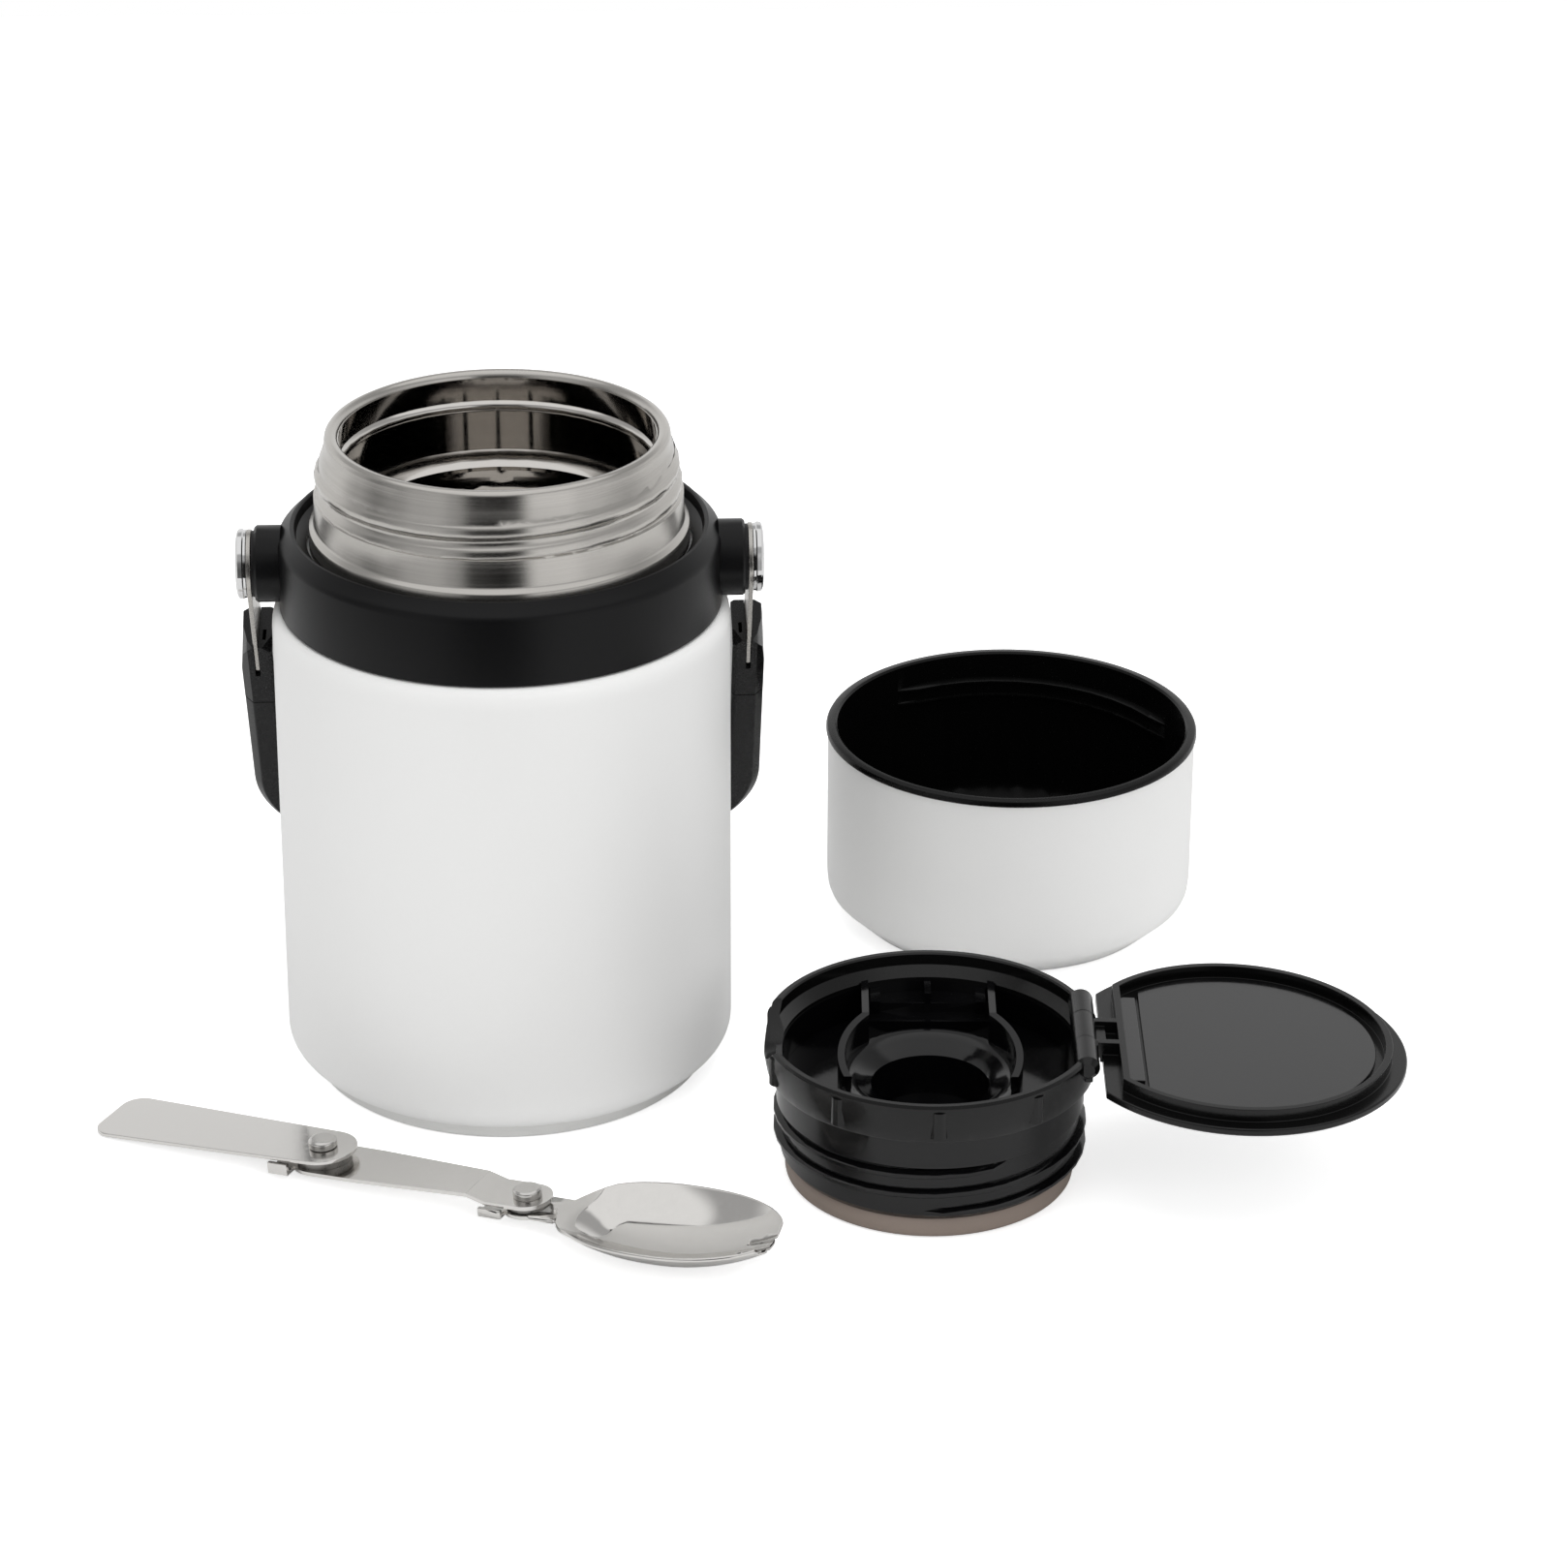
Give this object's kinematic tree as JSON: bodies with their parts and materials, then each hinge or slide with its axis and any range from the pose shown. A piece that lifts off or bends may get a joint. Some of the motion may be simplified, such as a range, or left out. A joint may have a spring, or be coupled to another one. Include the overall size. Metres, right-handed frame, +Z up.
{
  "type": "insulated food jar",
  "caption": "Insulated food jar laid out open, with a carrying bail, a threaded cup, a screw stopper with a flip lid, and a folding spork.",
  "frame": {"origin": "centre of the jar's flat base, on the surface it stands on", "axes": "+Z up along the jar's axis, +X along the bail's pivot towards the stopper and cup, +Y towards the back, where the bail hangs"},
  "size_m": [0.3182, 0.2514, 0.1678],
  "materials": {
    "white_coat": "satin",
    "base_plastic": "satin",
    "liner_steel": "polished",
    "neck_steel": "brushed",
    "collar_black": "satin",
    "pin_steel": "satin",
    "washer_black": "satin",
    "cap_chrome": "polished",
    "arm_steel": "brushed",
    "grip_black": "satin",
    "lining_black": "satin",
    "stopper_gloss": "gloss",
    "stopper_satin": "satin",
    "gasket_silicone": "matte",
    "lid_gloss": "gloss",
    "spork_steel": "polished",
    "spacer_steel": "satin"
  },
  "bodies": {
    "jar": {"outer_shell": "white_coat", "base_cap": "base_plastic", "inner_liner": "liner_steel", "neck_ring": "neck_steel", "collar": "collar_black", "pivot_pin_left": "pin_steel", "pivot_pin_right": "pin_steel", "boss_washer_left": "washer_black", "boss_washer_right": "washer_black", "spring_washer_left": "pin_steel", "spring_washer_right": "pin_steel", "pivot_cap_left": "cap_chrome", "pivot_cap_right": "cap_chrome"},
    "bail": {"bail_arm_left": "arm_steel", "bail_arm_right": "arm_steel", "grip_socket_left": "grip_black", "grip_socket_right": "grip_black", "grip_bar": "grip_black"},
    "cup": {"cup_shell": "white_coat", "cup_lining": "lining_black"},
    "stopper": {"stopper_body": "stopper_gloss", "stopper_ring": "stopper_satin", "stopper_tray": "stopper_gloss", "stopper_base": "stopper_gloss", "gasket": "gasket_silicone", "hinge_pin": "pin_steel"},
    "lid": {"lid_disc": "stopper_satin", "lid_panel": "lid_gloss"},
    "spork": {"spork_link": "spork_steel", "spork_spacer_1": "spacer_steel", "spork_spacer_2": "spacer_steel", "spork_rivet_1": "spork_steel", "spork_rivet_2": "spork_steel"},
    "spork_handle": {"spork_handle": "spork_steel"},
    "spork_bowl": {"spork_bowl": "spork_steel"}
  },
  "joints": [
    {"name": "bail_hinge", "type": "hinge", "parent": "jar", "child": "bail", "pos_m": [0, 0, 0.1332], "axis": [1, 0, 0], "range_deg": [0, 292]},
    {"name": "cup_lift", "type": "slide", "parent": "jar", "child": "cup", "axis": [0, 0, 1], "range_m": [0, 0.16]},
    {"name": "stopper_lift", "type": "slide", "parent": "jar", "child": "stopper", "axis": [0, 0, 1], "range_m": [0, 0.2]},
    {"name": "lid_hinge", "type": "hinge", "parent": "stopper", "child": "lid", "pos_m": [0.13856, -0.06907, 0.0366], "axis": [-0.0454, -0.999, 0], "range_deg": [0, 181.9]},
    {"name": "spork_lift", "type": "slide", "parent": "jar", "child": "spork", "axis": [0, 0, 1], "range_m": [0, 0.2]},
    {"name": "handle_fold", "type": "hinge", "parent": "spork", "child": "spork_handle", "pos_m": [-0.04515, -0.06359, 0.00604], "axis": [-0.0798, 0.0426, 0.9959], "range_deg": [0, 180]},
    {"name": "bowl_fold", "type": "hinge", "parent": "spork", "child": "spork_bowl", "pos_m": [0.00466, -0.09019, 0.00344], "axis": [-0.0798, 0.0426, 0.9959], "range_deg": [-180, 0]}
  ]
}
